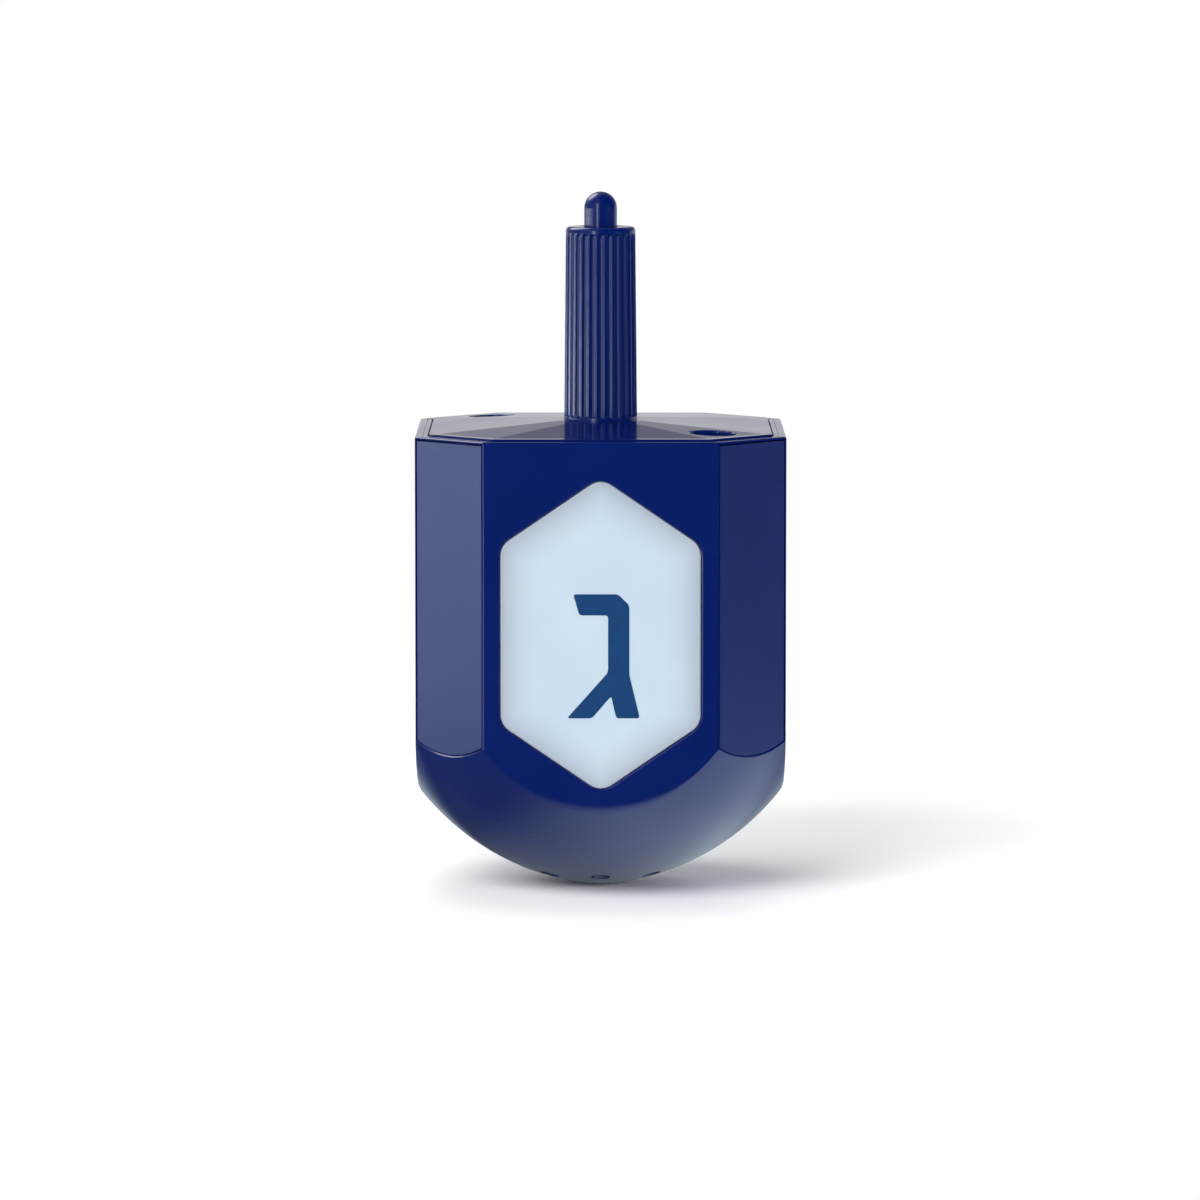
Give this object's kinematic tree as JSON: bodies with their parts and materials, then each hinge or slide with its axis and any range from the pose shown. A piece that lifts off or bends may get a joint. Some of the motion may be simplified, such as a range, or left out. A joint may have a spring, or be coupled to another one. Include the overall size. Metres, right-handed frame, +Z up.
{
  "type": "electronic dreidel",
  "caption": "Light-up spinning top with an octagonal blue body on a domed foot, letter windows, a fluted finger grip and a push button on top.",
  "frame": {"origin": "middle of the foot, at the bottom of the part", "axes": "+Z up the spin axis, towards the button; -Y out of the front window; +X to the right seen from the front"},
  "size_m": [0.06, 0.06, 0.1137],
  "materials": {
    "blue_abs": "glossy moulded ABS, deep blue",
    "window": "translucent white plastic, satin",
    "white_plastic": "white moulded plastic",
    "black_plastic": "black plastic",
    "circuit_board": "green circuit board",
    "led_lens": "clear cast lens",
    "screw_steel": "zinc-plated steel",
    "spring_steel": "nickel-plated spring steel",
    "cell_steel": "nickel-plated steel can",
    "speaker_steel": "pressed steel",
    "speaker_cone": "black paper cone",
    "ferrite": "sintered ferrite",
    "red_lead": "red PVC insulation",
    "black_lead": "black PVC insulation"
  },
  "bodies": {
    "housing": {"body_shell": "blue_abs", "corner_panel_front_right": "blue_abs", "corner_panel_back_right": "blue_abs", "corner_panel_back_left": "blue_abs", "corner_panel_front_left": "blue_abs", "window_front": "window", "window_right": "window", "window_back": "window", "window_left": "window", "lid": "blue_abs", "lid_screws": "screw_steel", "grip_stem": "blue_abs", "button_spring": "spring_steel", "switch_housing": "black_plastic", "switch_housing_screws": "screw_steel", "switch_board": "circuit_board", "switch_body": "black_plastic", "battery_upper_contact": "spring_steel", "battery_cell_top": "cell_steel", "battery_cell_middle": "cell_steel", "battery_cell_bottom": "cell_steel", "battery_lower_contact": "spring_steel", "reflector_core": "white_plastic", "core_screws": "screw_steel", "led_front": "led_lens", "led_right": "led_lens", "led_back": "led_lens", "led_left": "led_lens", "main_board": "circuit_board", "sound_chip": "black_plastic", "capacitor": "black_plastic", "speaker_frame": "speaker_steel", "speaker_cone": "speaker_cone", "speaker_magnet": "ferrite", "speaker_clamp": "white_plastic", "clamp_screws": "screw_steel", "switch_lead_red": "red_lead", "switch_lead_black": "black_lead", "speaker_lead_red": "red_lead", "speaker_lead_black": "black_lead"},
    "button": {"push_button": "blue_abs", "switch_plunger": "white_plastic"}
  },
  "joints": [
    {"name": "button_press", "type": "slide", "parent": "housing", "child": "button", "axis": [0, 0, -1], "range_m": [0, 0.0025], "stiffness_N_per_m": 300, "springref_m": -0.002, "deforming": ["button_spring"]}
  ]
}
